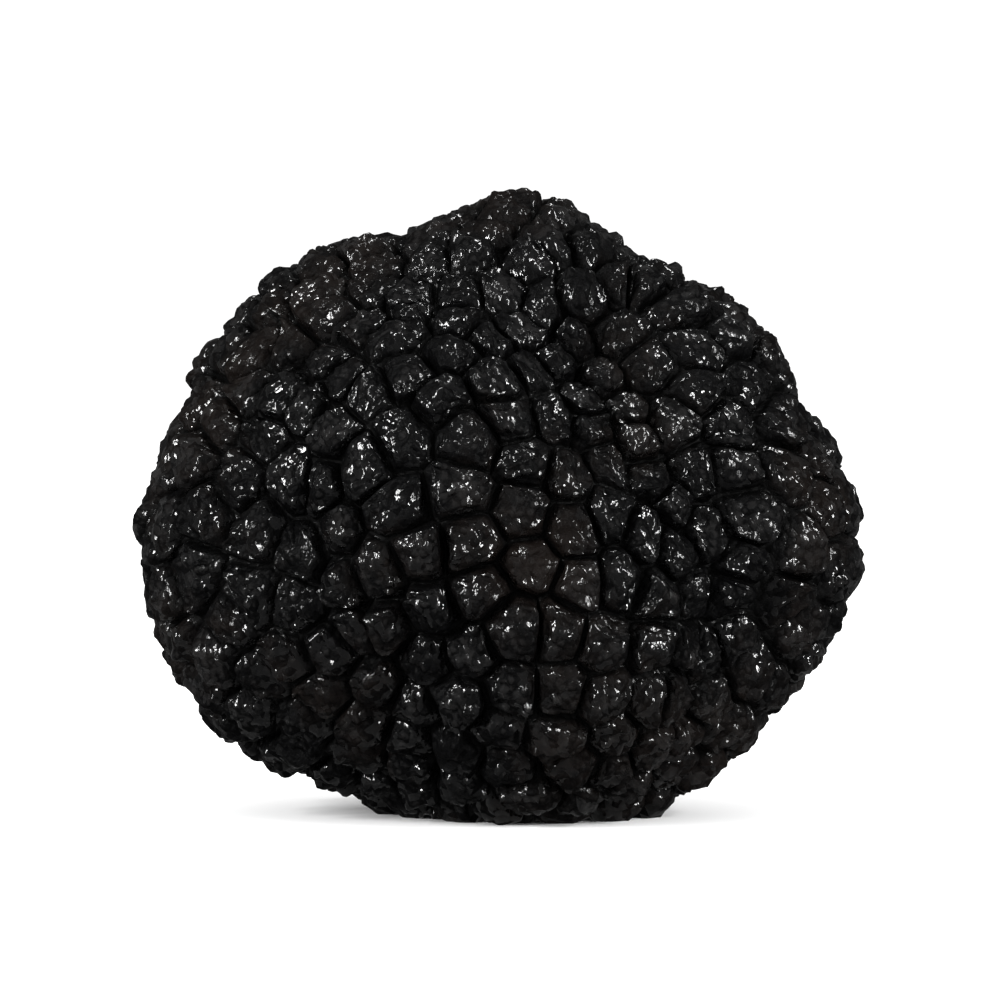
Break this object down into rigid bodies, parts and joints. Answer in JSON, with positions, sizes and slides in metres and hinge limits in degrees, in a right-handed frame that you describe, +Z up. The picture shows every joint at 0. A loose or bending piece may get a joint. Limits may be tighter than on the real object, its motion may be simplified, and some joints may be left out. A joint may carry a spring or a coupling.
{
  "type": "black truffle",
  "caption": "Whole black truffle: one lobed, knobbly solid covered in low angular warts with narrow furrows, resting on a small flat spot.",
  "frame": {"origin": "middle of the bounding box's underside, inside the small flat spot that the truffle rests on", "axes": "+Z up, front towards -Y, widest across X"},
  "size_m": [0.033, 0.0286, 0.028],
  "materials": {
    "truffle_skin": "near-black warty skin, dull in the furrows, with a faint damp gloss on the wart tips"
  },
  "bodies": {
    "root": {"truffle": "truffle_skin"}
  },
  "joints": []
}
